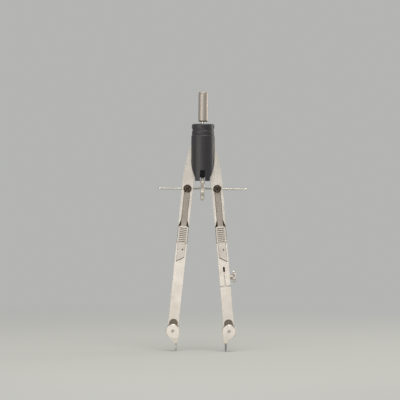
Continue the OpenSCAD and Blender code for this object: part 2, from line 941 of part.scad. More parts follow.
// Thumb screw in the outer side of the lead leg
module insert_clamp_screw() {
  tip = insert_tongue_w / 2 + 2 * run_gap;
  collar = leg_w / 2 + run_gap;
  head_x = collar + clamp_collar_len;
  edge = 0.3;
  color(nickel)
    on_leg(true)
      down(clamp_v)
        rotate([0, 90, 0])
          rotate_extrude()
            polygon([
              [0, tip], [clamp_thread_d / 2, tip], [clamp_thread_d / 2, collar],
              [clamp_collar_d / 2, collar], [clamp_collar_d / 2, head_x],
              [clamp_head_d / 2 - edge, head_x], [clamp_head_d / 2, head_x + edge],
              [clamp_head_d / 2, head_x + clamp_head_t - edge],
              [clamp_head_d / 2 - edge, head_x + clamp_head_t], [0, head_x + clamp_head_t]
            ]);
}

head();
handle_insert();
handle_stem();
handle();
pivot_pin(false);  // left_pivot_pin
pivot_pin(true);  // right_pivot_pin
pivot_washers();
left_leg();
lever_pin(false);  // left_lever_pin
release_lever(false);  // left_release_lever
lever_spring(false);  // left_lever_spring
lever_rivet(false);  // left_lever_rivet
spindle_nut(false);  // left_spindle_nut
half_nut(false);  // left_half_nut
right_leg();
lever_pin(true);  // right_lever_pin
release_lever(true);  // right_release_lever
lever_spring(true);  // right_lever_spring
lever_rivet(true);  // right_lever_rivet
spindle_nut(true);  // right_spindle_nut
half_nut(true);  // right_half_nut
spindle_stops();
spindle();
thumb_wheel();
needle_knee();
knee_pin(false);  // needle_knee_pin
clamp_screw(false, needle_nose_d, needle_d);  // needle_clamp_screw
needle();
lead_insert();
insert_clamp_screw();
lead_knee();
knee_pin(true);  // lead_knee_pin
clamp_screw(true, lead_nose_d, lead_d);  // lead_clamp_screw
lead();
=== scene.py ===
import json
import math

import bmesh
import bpy
from mathutils import Matrix, Vector
from mathutils.bvhtree import BVHTree


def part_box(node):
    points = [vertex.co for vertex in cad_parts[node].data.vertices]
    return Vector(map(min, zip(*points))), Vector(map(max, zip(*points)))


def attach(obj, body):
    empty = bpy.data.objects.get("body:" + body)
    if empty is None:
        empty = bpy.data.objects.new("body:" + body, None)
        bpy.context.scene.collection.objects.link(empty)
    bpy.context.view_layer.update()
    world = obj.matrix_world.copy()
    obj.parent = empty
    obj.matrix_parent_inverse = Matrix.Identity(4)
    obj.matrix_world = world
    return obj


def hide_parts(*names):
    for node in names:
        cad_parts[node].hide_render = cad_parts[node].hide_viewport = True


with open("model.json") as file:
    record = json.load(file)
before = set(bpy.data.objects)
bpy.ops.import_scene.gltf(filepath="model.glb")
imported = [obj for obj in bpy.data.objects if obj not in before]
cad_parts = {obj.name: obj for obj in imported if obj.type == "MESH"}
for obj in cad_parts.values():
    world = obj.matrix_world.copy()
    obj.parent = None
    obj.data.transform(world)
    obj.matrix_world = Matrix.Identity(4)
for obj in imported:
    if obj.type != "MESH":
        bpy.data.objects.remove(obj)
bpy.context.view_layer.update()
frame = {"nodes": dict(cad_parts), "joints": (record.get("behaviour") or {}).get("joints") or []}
scene = bpy.context.scene

# Head: the black grip block at the top, injection moulded in ABS and slotted for the legs.
# Two ring grooves part its collar from the body, and its lower end is a fork for the thumb wheel.
MM = 0.001


def linear(hex_colour):
    """An sRGB hex colour as the linear colour that a shader takes."""
    channels = [int(hex_colour[i:i + 2], 16) / 255 for i in (1, 3, 5)]
    return (*[c / 12.92 if c <= 0.04045 else ((c + 0.055) / 1.055) ** 2.4 for c in channels], 1.0)


def add_node(tree, kind, settings=None, inputs=None):
    """Adds a node, sets its properties, and sets or links its inputs."""
    node = tree.nodes.new(kind)
    for name, value in (settings or {}).items():
        setattr(node, name, value)
    for name, value in (inputs or {}).items():
        if isinstance(value, bpy.types.NodeSocket):
            tree.links.new(value, node.inputs[name])
        else:
            node.inputs[name].default_value = value
    return node


def new_material(name):
    """An empty node material and its tree."""
    material = bpy.data.materials.new(name)
    material.use_nodes = True
    material.node_tree.nodes.clear()
    return material, material.node_tree


def moulded_abs(name, dark, pale, gloss):
    """Black ABS from a fine-eroded mould: a soft sheen, a very fine grain and faint flow marks."""
    grain_size = 0.35 * MM    # the real grain is finer; this is as fine as shows
    flow_size = 9 * MM
    material, tree = new_material(name)
    place = add_node(tree, "ShaderNodeTexCoord").outputs["Object"]
    grain = add_node(tree, "ShaderNodeTexNoise", None,
                     {"Vector": place, "Scale": 1 / grain_size, "Detail": 2.0, "Roughness": 0.6})
    flow = add_node(tree, "ShaderNodeTexNoise", None,
                    {"Vector": place, "Scale": 1 / flow_size, "Detail": 3.0, "Roughness": 0.55})
    tone = add_node(tree, "ShaderNodeMix", {"data_type": "RGBA"},
                    {"Factor": flow.outputs["Fac"], "A": linear(dark), "B": linear(pale)})
    rough = add_node(tree, "ShaderNodeMapRange", None,
                     {"Value": flow.outputs["Fac"], "From Min": 0.3, "From Max": 0.7,
                      "To Min": gloss - 0.04, "To Max": gloss + 0.05})
    bump = add_node(tree, "ShaderNodeBump", None,
                    {"Height": grain.outputs["Fac"], "Strength": 0.12, "Distance": 0.03 * MM})
    shader = add_node(tree, "ShaderNodeBsdfPrincipled", None,
                      {"Base Color": tone.outputs["Result"], "Roughness": rough.outputs["Result"],
                       "Normal": bump.outputs["Normal"], "IOR": 1.54})
    add_node(tree, "ShaderNodeOutputMaterial", None, {"Surface": shader.outputs["BSDF"]})
    return material


def merged_copy(node):
    """A copy of a CAD node's mesh with its loose triangles joined into whole faces."""
    weld, flat = 1e-7, math.radians(0.3)
    shape = bmesh.new()
    shape.from_mesh(frame["nodes"][node].data)
    bmesh.ops.remove_doubles(shape, verts=shape.verts, dist=weld)
    bmesh.ops.dissolve_limit(shape, angle_limit=flat, verts=shape.verts, edges=shape.edges)
    mesh = bpy.data.meshes.new(node)
    shape.to_mesh(mesh)
    shape.free()
    for layer in ("custom_normal", "sharp_edge", "sharp_face"):
        if layer in mesh.attributes:
            mesh.attributes.remove(mesh.attributes[layer])
    return mesh


def plain_mesh(piece):
    """Turns what a piece's modifiers make into its own mesh."""
    graph = bpy.context.evaluated_depsgraph_get()
    mesh = bpy.data.meshes.new_from_object(piece.evaluated_get(graph), depsgraph=graph)
    piece.modifiers.clear()
    piece.data = mesh
    return piece


def shaded_hollows(shape, depths):
    """Faces in hollows, which take painted shade: walls close to walls, and floors at such depths below a
    side.
    """
    reach, clear = 6 * MM, 0.005 * MM
    level = 0.9    # a floor's normal leans no further than this from front to rear
    around = BVHTree.FromBMesh(shape)
    front = min(corner.co.y for corner in shape.verts)
    rear = max(corner.co.y for corner in shape.verts)
    found = set()
    for face in shape.faces:
        middle = face.calc_center_median()
        depth = min(middle.y - front, rear - middle.y)
        is_floor = abs(face.normal.y) > level and depths[0] < depth < depths[1]
        probes = [middle.lerp(corner.co, 0.5) + face.normal * clear for corner in face.verts]
        blocked = [around.ray_cast(probe, face.normal, reach)[0] is not None for probe in probes]
        if is_floor or 2 * sum(blocked) > len(probes):
            found.add(face)
    return found


BODY, WORN, RECESS = 0, 1, 2    # the places of a piece's finishes in its list of materials


def finished(name, mesh, edge, surface, worn, recess=None, depths=(1.3 * MM, 5 * MM)):
    """A piece with its outer edges rounded and worn, and the recess finish, a painted shade, on the faces
    in hollows.
    """
    crease = math.radians(28)
    mesh.materials.clear()
    for material in (surface, worn, recess or surface):
        mesh.materials.append(material)
    shape = bmesh.new()
    shape.from_mesh(mesh)
    rounded = shape.edges.layers.float.new("bevel_weight_edge")
    for line in shape.edges:
        if line.is_manifold and line.calc_face_angle() > crease:
            line[rounded] = float(line.is_convex)
            line.smooth = line.is_convex
    # faces in hollows get the recess finish, painted shade
    in_shade = shaded_hollows(shape, depths) if recess else set()
    for face in shape.faces:
        face.smooth = True
        face.material_index = RECESS if face in in_shade else BODY
    shape.to_mesh(mesh)
    shape.free()
    piece = bpy.data.objects.new(name, mesh)
    scene.collection.objects.link(piece)
    rounding = piece.modifiers.new("rounding", "BEVEL")
    rounding.width = edge
    rounding.segments = 2
    rounding.limit_method = "WEIGHT"
    rounding.use_clamp_overlap = False
    rounding.harden_normals = True
    rounding.material = WORN
    return plain_mesh(piece)


def cut_across(mesh, height):
    """Cuts a mesh's faces at a height, so that the long ones under a hole shade evenly."""
    shape = bmesh.new()
    shape.from_mesh(mesh)
    whole = shape.verts[:] + shape.edges[:] + shape.faces[:]
    bmesh.ops.bisect_plane(shape, geom=whole, plane_co=(0, 0, height), plane_no=(0, 0, 1))
    shape.to_mesh(mesh)
    shape.free()
    return mesh


# The body is near black with a soft sheen. Hands rub its edges greyer and glossier.
abs_body = moulded_abs("black ABS, moulded", "#262427", "#2e2b2f", 0.36)
abs_edge = moulded_abs("black ABS, rubbed edge", "#39363a", "#413e42", 0.28)
head_edge, below_hole = 0.22 * MM, 0.5 * MM
pin_hole_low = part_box("left_pivot_pin")[0].z - below_hole
head_mesh = cut_across(merged_copy("head"), pin_hole_low)
head = finished("head_moulded", head_mesh, head_edge, abs_body, abs_edge)
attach(head, "head")
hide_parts("head")

# Bush and stem: a turned brass bush moulded into the head, and the steel stud in it that
# carries the handle. Only the stud's bright neck shows, between the head and the handle.


def turned_mesh(name, outline, place, steps=96):
    """Revolves (radius, height) points, in metres, about Z and sets the result in place."""
    on_axis = 1e-9
    shape = bmesh.new()
    rings = []
    turns = [2 * math.pi * i / steps for i in range(steps)]
    for radius, height in outline:
        if radius < on_axis:
            rings.append([shape.verts.new((0, 0, height))])
        else:
            rings.append([shape.verts.new((radius * math.cos(turn), radius * math.sin(turn), height))
                          for turn in turns])
    for low, high in zip(rings, rings[1:]):
        for i in range(steps):
            corners = [low[i % len(low)], low[(i + 1) % len(low)],
                       high[(i + 1) % len(high)], high[i % len(high)]]
            shape.faces.new(list(dict.fromkeys(corners)))
    bmesh.ops.transform(shape, matrix=place, verts=shape.verts)
    bmesh.ops.recalc_face_normals(shape, faces=shape.faces)
    mesh = bpy.data.meshes.new(name)
    shape.to_mesh(mesh)
    shape.free()
    return mesh


def turned_metal(name, dull, bright, rough, ring_width, axis):
    """Turned metal: fine tool rings across the given axis (0 to 2), with a little tarnish between."""
    ring_length = 40 * ring_width
    tarnish_size = 3 * MM
    material, tree = new_material(name)
    place = add_node(tree, "ShaderNodeTexCoord").outputs["Object"]
    scale = [ring_length] * 3
    scale[axis] = ring_width
    rings_at = add_node(tree, "ShaderNodeMapping", {"vector_type": "TEXTURE"},
                        {"Vector": place, "Scale": scale})
    rings = add_node(tree, "ShaderNodeTexNoise", None,
                     {"Vector": rings_at.outputs["Vector"], "Scale": 1.0, "Detail": 3.0, "Roughness": 0.6})
    tarnish = add_node(tree, "ShaderNodeTexNoise", None,
                       {"Vector": place, "Scale": 1 / tarnish_size, "Detail": 3.0, "Roughness": 0.5})
    tone = add_node(tree, "ShaderNodeMix", {"data_type": "RGBA"},
                    {"Factor": tarnish.outputs["Fac"], "A": linear(dull), "B": linear(bright)})
    spread = add_node(tree, "ShaderNodeMapRange", None,
                      {"Value": rings.outputs["Fac"], "From Min": 0.3, "From Max": 0.7,
                       "To Min": rough * 0.9, "To Max": rough * 1.15})
    bump = add_node(tree, "ShaderNodeBump", None,
                    {"Height": rings.outputs["Fac"], "Strength": 0.05, "Distance": 0.01 * MM})
    shader = add_node(tree, "ShaderNodeBsdfPrincipled", None,
                      {"Base Color": tone.outputs["Result"], "Roughness": spread.outputs["Result"],
                       "Normal": bump.outputs["Normal"], "Metallic": 1.0})
    add_node(tree, "ShaderNodeOutputMaterial", None, {"Surface": shader.outputs["BSDF"]})
    return material


def upright(node):
    """Radius, lowest height and highest height of an upright round CAD node on the handle's axis."""
    low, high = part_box(node)
    return (high.x - low.x) / 2, low.z, high.z


# Brass is a warm yellow with fine rings.
brass = turned_metal("brass, turned", "#b8924c", "#d2ac66", 0.26, 0.1 * MM, 2)
bush_edge = 0.1 * MM
bush = finished("handle_bush_turned", merged_copy("handle_insert"), bush_edge, brass, brass)
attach(bush, "head")
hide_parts("handle_insert")

# Turned steel is a pale grey with sharp highlights.
steel_upright = turned_metal("bright steel, turned", "#b9b6b0", "#d6d3cd", 0.2, 0.08 * MM, 2)
stem_r, stem_low, stem_top = upright("handle_stem")
neck_fillet, stem_edge = 0.15 * MM, 0.05 * MM
stem = finished("handle_stem_turned", turned_mesh("stem", [
    (0, stem_low), (stem_r - neck_fillet, stem_low), (stem_r, stem_low + neck_fillet),
    (stem_r, stem_top - neck_fillet), (stem_r - neck_fillet, stem_top), (0, stem_top),
], Matrix.Identity(4)), stem_edge, steel_upright, steel_upright)
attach(stem, "head")
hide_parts("handle_stem")

# Handle: a slim turned brass rod, nickel plated and polished. A fine groove runs round it
# just under the rounded top, its foot is chamfered, and it is screwed on the stud.
handle_r, handle_low, handle_top = upright("handle")
handle_foot, handle_crown, handle_edge = 0.7 * MM, 0.4 * MM, 0.08 * MM
groove_drop, groove_half = 1.4 * MM, 0.25 * MM
rim_groove = handle_top - groove_drop
press_gap, bore_depth = 0.02 * MM, 8 * MM
handle_bore = stem_r + press_gap
bore_top = handle_low + bore_depth
# Polished nickel is a warm grey with soft upright highlights. Its rubbed edges are paler and glossier.
polished_nickel = turned_metal("nickel plate, polished", "#b0a79f", "#c2b9b1", 0.48, 0.12 * MM, 2)
nickel_edge = turned_metal("nickel plate, rubbed edge", "#c9c1b7", "#d9d1c8", 0.3, 0.12 * MM, 2)
handle = finished("handle_turned", turned_mesh("handle", [
    (0, bore_top), (handle_bore, bore_top), (handle_bore, handle_low),
    (handle_r - handle_foot, handle_low), (handle_r, handle_low + handle_foot),
    (handle_r, rim_groove - groove_half), (handle_r - groove_half, rim_groove),
    (handle_r, rim_groove + groove_half), (handle_r, handle_top - handle_crown),
    (handle_r - handle_crown, handle_top), (0, handle_top),
], Matrix.Identity(4)), handle_edge, polished_nickel, nickel_edge)
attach(handle, "head")
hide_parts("handle")

# Legs: flat bars milled from brass, satin brushed along their length and nickel plated.
# Their toothed upper ends mesh inside the head's slot, each on a steel pin with thin brass washers.
LEG_TILT = math.radians(5.35)
leg_edge, pin_edge, washer_edge = 0.12 * MM, 0.12 * MM, 0.04 * MM


def brushed_nickel(name, tilt, dull, bright, rough):
    """Satin nickel plate: fine brush lines along the leg, which spread the light into a soft sheen."""
    line_width, line_length = 0.14 * MM, 14 * MM    # real lines are finer; these still show
    haze_size = 7 * MM
    material, tree = new_material(name)
    place = add_node(tree, "ShaderNodeTexCoord").outputs["Object"]
    along = add_node(tree, "ShaderNodeMapping", {"vector_type": "TEXTURE"},
                     {"Vector": place, "Rotation": (0, tilt, 0),
                      "Scale": (line_width, line_width, line_length)})
    lines = add_node(tree, "ShaderNodeTexNoise", None,
                     {"Vector": along.outputs["Vector"], "Scale": 1.0, "Detail": 4.0, "Roughness": 0.65})
    haze = add_node(tree, "ShaderNodeTexNoise", None,
                    {"Vector": place, "Scale": 1 / haze_size, "Detail": 3.0, "Roughness": 0.5})
    shade = add_node(tree, "ShaderNodeMath", {"operation": "MULTIPLY"},
                     {0: lines.outputs["Fac"], 1: haze.outputs["Fac"]})
    share = add_node(tree, "ShaderNodeMapRange", None,
                     {"Value": shade.outputs["Value"], "From Min": 0.12, "From Max": 0.38})
    tone = add_node(tree, "ShaderNodeMix", {"data_type": "RGBA"},
                    {"Factor": share.outputs["Result"], "A": linear(dull), "B": linear(bright)})
    spread = add_node(tree, "ShaderNodeMapRange", None,
                      {"Value": lines.outputs["Fac"], "From Min": 0.3, "From Max": 0.7,
                       "To Min": rough - 0.05, "To Max": rough + 0.07})
    bump = add_node(tree, "ShaderNodeBump", None,
                    {"Height": lines.outputs["Fac"], "Strength": 0.1, "Distance": 0.02 * MM})
    shader = add_node(tree, "ShaderNodeBsdfPrincipled", None,
                      {"Base Color": tone.outputs["Result"], "Roughness": spread.outputs["Result"],
                       "Normal": bump.outputs["Normal"], "Metallic": 1.0})
    add_node(tree, "ShaderNodeOutputMaterial", None, {"Surface": shader.outputs["BSDF"]})
    return material


# The legs are pale and soft. Their hollows are painted a dull brown grey, as painted shade.
tilts = {"left": LEG_TILT, "right": -LEG_TILT}
leg_nickel = {side: brushed_nickel(f"nickel plate, satin, {side} leg", tilt, "#cdc6bd", "#e2dcd4", 0.34)
              for side, tilt in tilts.items()}
# painted shade for hollows, a dull brown grey
recess_shade_nickel = turned_metal("nickel plate, painted shade in recesses", "#5f594f", "#70695e", 0.55, 0.3 * MM, 2)
# painted shade for the pocket of the fork round each knee, a lighter brown grey
fork_shade_nickel = turned_metal("nickel plate, painted shade in fork", "#7b7468", "#8f867a", 0.5, 0.3 * MM, 2)
fork_reach, joint_half = 6 * MM, 1.5 * MM
fork_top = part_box("needle_knee")[1].z + fork_reach
joint_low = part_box("right_leg")[0].z


def refinish(piece, finish, chosen):
    """Gives the chosen faces of a piece another finish."""
    piece.data.materials.append(finish)
    for face in piece.data.polygons:
        if chosen(face):
            face.material_index = len(piece.data.materials) - 1


def in_fork(face):
    """Whether a bar's face lies in the fork for its knee."""
    return face.material_index == RECESS and face.center.z < fork_top


# Edges at the joint take the recess colour, a painted shade line in the gap.
def at_joint(face):
    """Whether a bar's face is on an edge that lies across it at the insert's joint."""
    least_rise = 0.3    # an edge along the bar faces up or down by less than this
    is_across = face.material_index == WORN and abs(face.normal.z) > least_rise
    return is_across and abs(face.center.z - joint_low) < joint_half


for side in tilts:
    leg = finished(f"{side}_leg_plated", merged_copy(f"{side}_leg"), leg_edge,
                   leg_nickel[side], nickel_edge, recess_shade_nickel)
    # the fork's pocket takes its painted shade
    refinish(leg, fork_shade_nickel, in_fork)
    # the edges at the joint take painted shade
    refinish(leg, recess_shade_nickel, at_joint)
    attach(leg, f"{side}_leg")
    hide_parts(f"{side}_leg")

# Drawn steel is a little greyer than the turned steel.
steel_cross = turned_metal("bright steel, drawn", "#b4b1ab", "#d2cfc9", 0.22, 0.1 * MM, 1)
for side in tilts:
    pin = finished(f"{side}_pivot_pin_turned", merged_copy(f"{side}_pivot_pin"), pin_edge,
                   steel_cross, steel_cross)
    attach(pin, "head")
    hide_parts(f"{side}_pivot_pin")
washers = finished("pivot_washers_stamped", merged_copy("pivot_washers"), washer_edge, brass, brass)
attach(washers, "head")
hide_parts("pivot_washers")

# Release levers: nickel-plated rockers let into the front of each leg on a steel cross pin.
# A thumb presses the ribbed pad, a leaf spring riveted behind it presses back.
lever_edge, lever_pin_edge, spring_edge, rivet_edge = 0.08 * MM, 0.06 * MM, 0.04 * MM, 0.06 * MM
rib_depths = (0.5 * MM, 0.85 * MM)
# The pad is nearly as pale as the leg. The tongue, set back between the rails, is painted darker as painted
# shade, and the pad's grooves darker still.
shaded_lever_nickel = {side: brushed_nickel(f"nickel plate, satin, {side} lever", tilt, "#9b9289", "#b1a89f", 0.4)
                for side, tilt in tilts.items()}
pad_nickel = {side: brushed_nickel(f"nickel plate, satin, {side} pad", tilt, "#bfb8b0", "#d2cdc5", 0.36)
              for side, tilt in tilts.items()}
# painted shade for the pad's grooves and the lever's fork
groove_shade_nickel = turned_metal("nickel plate, painted shade in grooves", "#8a8278", "#9a9288", 0.5, 0.3 * MM, 2)
# The small rivets have lost some of their black and look brown grey.
dulled = turned_metal("steel, blackened, dulled", "#5c534b", "#6e645a", 0.45, 0.15 * MM, 1)
leg_joint = next(joint for joint in frame["joints"] if joint["name"] == "left_leg_open")
tongue_drop = 58 * MM
tongue_low = leg_joint["pos_m"][2] - tongue_drop


def on_tongue(face):
    """Whether a lever's face is on its tongue, above the pad."""
    return face.material_index == BODY and face.center.z > tongue_low


for side in tilts:
    lever = finished(f"{side}_release_lever_plated", merged_copy(f"{side}_release_lever"), lever_edge,
                     pad_nickel[side], nickel_edge, groove_shade_nickel, rib_depths)
    # the tongue takes the darker nickel, painted shade
    refinish(lever, shaded_lever_nickel[side], on_tongue)
    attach(lever, f"{side}_lever")
    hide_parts(f"{side}_release_lever")
    lever_pin = finished(f"{side}_lever_pin_drawn", merged_copy(f"{side}_lever_pin"), lever_pin_edge,
                         steel_cross, steel_cross)
    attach(lever_pin, f"{side}_leg")
    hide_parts(f"{side}_lever_pin")
    spring = finished(f"{side}_lever_spring_rolled", merged_copy(f"{side}_lever_spring"), spring_edge,
                      steel_cross, steel_cross)
    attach(spring, f"{side}_lever")
    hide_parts(f"{side}_lever_spring")
    rivet = finished(f"{side}_lever_rivet_set", merged_copy(f"{side}_lever_rivet"), rivet_edge,
                     dulled, dulled)
    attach(rivet, f"{side}_lever")
    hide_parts(f"{side}_lever_rivet")

# Nuts: a plated barrel turns in each leg and carries the screw. In front of it sits the half nut,
# a blackened steel plunger with a ringed flange, which the lever's fork draws off the thread.
barrel_edge, half_nut_edge = 0.08 * MM, 0.1 * MM
ring_land, ring_slope, ring_depth, ring_count = 0.38 * MM, 0.1 * MM, 0.12 * MM, 2
# Blackened steel is a brown black. The edges of the rings are painted pale, partly as rubbed steel and
# partly as painted glints.
blackened = turned_metal("steel, blackened", "#191411", "#272019", 0.36, 0.15 * MM, 1)
blackened_glint_edge = turned_metal("steel, blackened, rubbed edge and painted glint", "#80756a", "#988c80", 0.28, 0.15 * MM, 1)


def ringed_front(mesh):
    """Turns ring grooves into the frontmost flat face of a mesh, from its rim inwards."""
    shape = bmesh.new()
    shape.from_mesh(mesh)
    face = min(shape.faces, key=lambda f: f.calc_center_median().y)
    for _ in range(ring_count):
        for width, sink in ((ring_land, 0), (ring_slope, ring_depth),
                            (ring_land, 0), (ring_slope, -ring_depth)):
            bmesh.ops.inset_region(shape, faces=[face], thickness=width, depth=-sink, use_even_offset=True)
    shape.to_mesh(mesh)
    shape.free()
    return mesh


for side in tilts:
    # the barrels take the tongue's darker nickel, painted shade
    barrel = finished(f"{side}_spindle_nut_turned", merged_copy(f"{side}_spindle_nut"), barrel_edge,
                      shaded_lever_nickel[side], nickel_edge)
    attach(barrel, f"{side}_nut")
    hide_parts(f"{side}_spindle_nut")
    # ring edges take the pale rubbed finish with painted glints
    half_nut = finished(f"{side}_half_nut_turned", ringed_front(merged_copy(f"{side}_half_nut")),
                        half_nut_edge, blackened, blackened_glint_edge)
    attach(half_nut, f"{side}_half_nut")
    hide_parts(f"{side}_half_nut")

# Spindle: a bright steel screw with opposite threads on its two halves, a domed stop on each
# end and a nickel-plated wheel pressed on its middle. The wheel's rim is knurled for the thumb.
SPINDLE_PITCH = 0.8 * MM
spindle_low, spindle_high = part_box("spindle")
spindle_z = (spindle_low.z + spindle_high.z) / 2
spindle_r = (spindle_high.z - spindle_low.z) / 2
spigot_r, spigot_len = 0.4 * MM, 0.8 * MM
thread_depth = 0.24 * MM
plain_half = 3.2 * MM
thread_end = spindle_high.x - spigot_len
core_r = spindle_r - thread_depth
core_edge, core_steps, stop_edge = 0.04 * MM, 48, 0.08 * MM
on_spindle = Matrix.Translation((0, 0, spindle_z)) @ Matrix.Rotation(math.radians(90), 4, "Y")
# The thread's steel is painted paler than the other steel, as painted light where the head and legs shade
# it; each ridge glints.
lit_steel_across = turned_metal("bright steel, threaded, painted light", "#c8c4bc", "#e2ded6", 0.24, 0.1 * MM, 0)
half_core = [(spindle_r, plain_half), (core_r, plain_half + thread_depth), (core_r, thread_end),
             (spigot_r, thread_end), (spigot_r, spindle_high.x), (0, spindle_high.x)]
core_outline = [(r, -x) for r, x in reversed(half_core)] + half_core
spindle = finished("spindle_core_turned", turned_mesh("spindle", core_outline, on_spindle, core_steps),
                   core_edge, lit_steel_across, lit_steel_across)
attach(spindle, "spindle")
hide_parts("spindle")


def shape_tree(name, inputs):
    """A new Geometry Nodes tree with named inputs, and those inputs."""
    tree = bpy.data.node_groups.new(name, "GeometryNodeTree")
    for label, kind in inputs.items():
        tree.interface.new_socket(label, in_out="INPUT", socket_type=f"NodeSocket{kind}")
    tree.interface.new_socket("Piece", in_out="OUTPUT", socket_type="NodeSocketGeometry")
    return tree, add_node(tree, "NodeGroupInput").outputs


def end_shape(tree, geometry, finish):
    """Ends a tree with real faces in one finish."""
    whole = add_node(tree, "GeometryNodeRealizeInstances", None, {"Geometry": geometry})
    coated = add_node(tree, "GeometryNodeSetMaterial", None,
                      {"Geometry": whole.outputs["Geometry"], "Material": finish})
    add_node(tree, "NodeGroupOutput", None, {"Piece": coated.outputs["Geometry"]})


def shaped_by(tree, name, sizes, place):
    """A piece that a tree makes with the given inputs, set in place."""
    piece = bpy.data.objects.new(name, bpy.data.meshes.new(name))
    scene.collection.objects.link(piece)
    shaping = piece.modifiers.new("shape", "NODES")
    shaping.node_group = tree
    for socket in tree.interface.items_tree:
        if socket.in_out == "INPUT":
            shaping[socket.identifier] = sizes[socket.name]
    plain_mesh(piece).data.transform(place)
    return piece


thread_tree, given = shape_tree("rolled thread", {
    "Turns": "Float", "Length": "Float", "Ridge middle": "Float", "Ridge radius": "Float",
    "Left hand": "Bool", "Finish": "Material"})
helix = add_node(thread_tree, "GeometryNodeCurveSpiral", None,
                 {"Resolution": 16, "Rotations": given["Turns"], "Height": given["Length"],
                  "Start Radius": given["Ridge middle"], "End Radius": given["Ridge middle"],
                  "Reverse": given["Left hand"]})
section = add_node(thread_tree, "GeometryNodeCurvePrimitiveCircle", None,
                   {"Resolution": 5, "Radius": given["Ridge radius"]})
ridge = add_node(thread_tree, "GeometryNodeCurveToMesh", None,
                 {"Curve": helix.outputs["Curve"], "Profile Curve": section.outputs["Curve"],
                  "Fill Caps": True})
end_shape(thread_tree, ridge.outputs["Mesh"], given["Finish"])
thread_start = plain_half + thread_depth
thread_len = thread_end - thread_start - thread_depth
for side, turn in (("left", -90), ("right", 90)):
    beside = Matrix.Translation((0, 0, spindle_z)) @ Matrix.Rotation(math.radians(turn), 4, "Y")
    thread = shaped_by(thread_tree, f"spindle_thread_{side}", {
        "Turns": thread_len / SPINDLE_PITCH, "Length": thread_len, "Ridge middle": core_r,
        "Ridge radius": thread_depth, "Left hand": side == "left", "Finish": lit_steel_across,
    }, beside @ Matrix.Translation((0, 0, thread_start)))
    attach(thread, "spindle")
    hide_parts("spindle")

# the stops take the same paler steel, painted light
stops = finished("spindle_stops_turned", merged_copy("spindle_stops"), stop_edge,
                 lit_steel_across, lit_steel_across)
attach(stops, "spindle_travel")
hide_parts("spindle_stops")

knurl_tree, given = shape_tree("straight knurl", {
    "Ridges": "Int", "Ring radius": "Float", "Ridge height": "Float", "Length": "Float",
    "Finish": "Material"})
ring = add_node(knurl_tree, "GeometryNodeMeshCircle", None,
                {"Vertices": given["Ridges"], "Radius": given["Ring radius"]})
outwards = add_node(knurl_tree, "FunctionNodeAlignRotationToVector", {"axis": "X"},
                    {"Vector": add_node(knurl_tree, "GeometryNodeInputPosition").outputs["Position"]})
ridge = add_node(knurl_tree, "GeometryNodeMeshCylinder", None,
                 {"Vertices": 4, "Radius": given["Ridge height"], "Depth": given["Length"]})
ridges = add_node(knurl_tree, "GeometryNodeInstanceOnPoints", None,
                  {"Points": ring.outputs["Mesh"], "Instance": ridge.outputs["Mesh"],
                   "Rotation": outwards.outputs["Rotation"]})
end_shape(knurl_tree, ridges.outputs["Instances"], given["Finish"])

wheel_low, wheel_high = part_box("thumb_wheel")
wheel_r = (wheel_high.z - wheel_low.z) / 2
wheel_half = wheel_high.x
wheel_bore = spindle_r + press_gap
wheel_chamfer, wheel_edge = 0.4 * MM, 0.1 * MM
wheel_ridges, knurl_height = 72, 0.3 * MM
rim_r = wheel_r - knurl_height
# The wheel is polished more than the handle, so its ridges glint.
wheel_nickel = turned_metal("nickel plate, polished, wheel", "#c4beb6", "#d5cfc7", 0.3, 0.12 * MM, 0)
wheel = finished("thumb_wheel_turned", turned_mesh("wheel", [
    (wheel_bore, -wheel_half), (rim_r - wheel_chamfer, -wheel_half), (rim_r, wheel_chamfer - wheel_half),
    (rim_r, wheel_half - wheel_chamfer), (rim_r - wheel_chamfer, wheel_half), (wheel_bore, wheel_half),
    (wheel_bore, -wheel_half),
], on_spindle), wheel_edge, wheel_nickel, nickel_edge)
wheel_knurl = shaped_by(knurl_tree, "thumb_wheel_knurled_rim", {
    "Ridges": wheel_ridges, "Ring radius": rim_r, "Ridge height": knurl_height,
    "Length": 2 * (wheel_half - wheel_chamfer), "Finish": wheel_nickel,
}, on_spindle)
for piece in (wheel, wheel_knurl):
    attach(piece, "spindle")
    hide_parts("thumb_wheel")

# Lead insert: the lower part of the lead leg, a bar like the legs with a flat tongue that
# goes up into the leg, held there by a thumb screw in the leg's outer side.
# The insert's hollows take the same painted shade.
insert = finished("lead_insert_plated", merged_copy("lead_insert"), leg_edge,
                  leg_nickel["right"], nickel_edge, recess_shade_nickel)
# the insert's fork pocket takes painted shade
refinish(insert, fork_shade_nickel, in_fork)
# the edges at the joint take painted shade
refinish(insert, recess_shade_nickel, at_joint)
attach(insert, "lead_insert")
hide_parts("lead_insert")

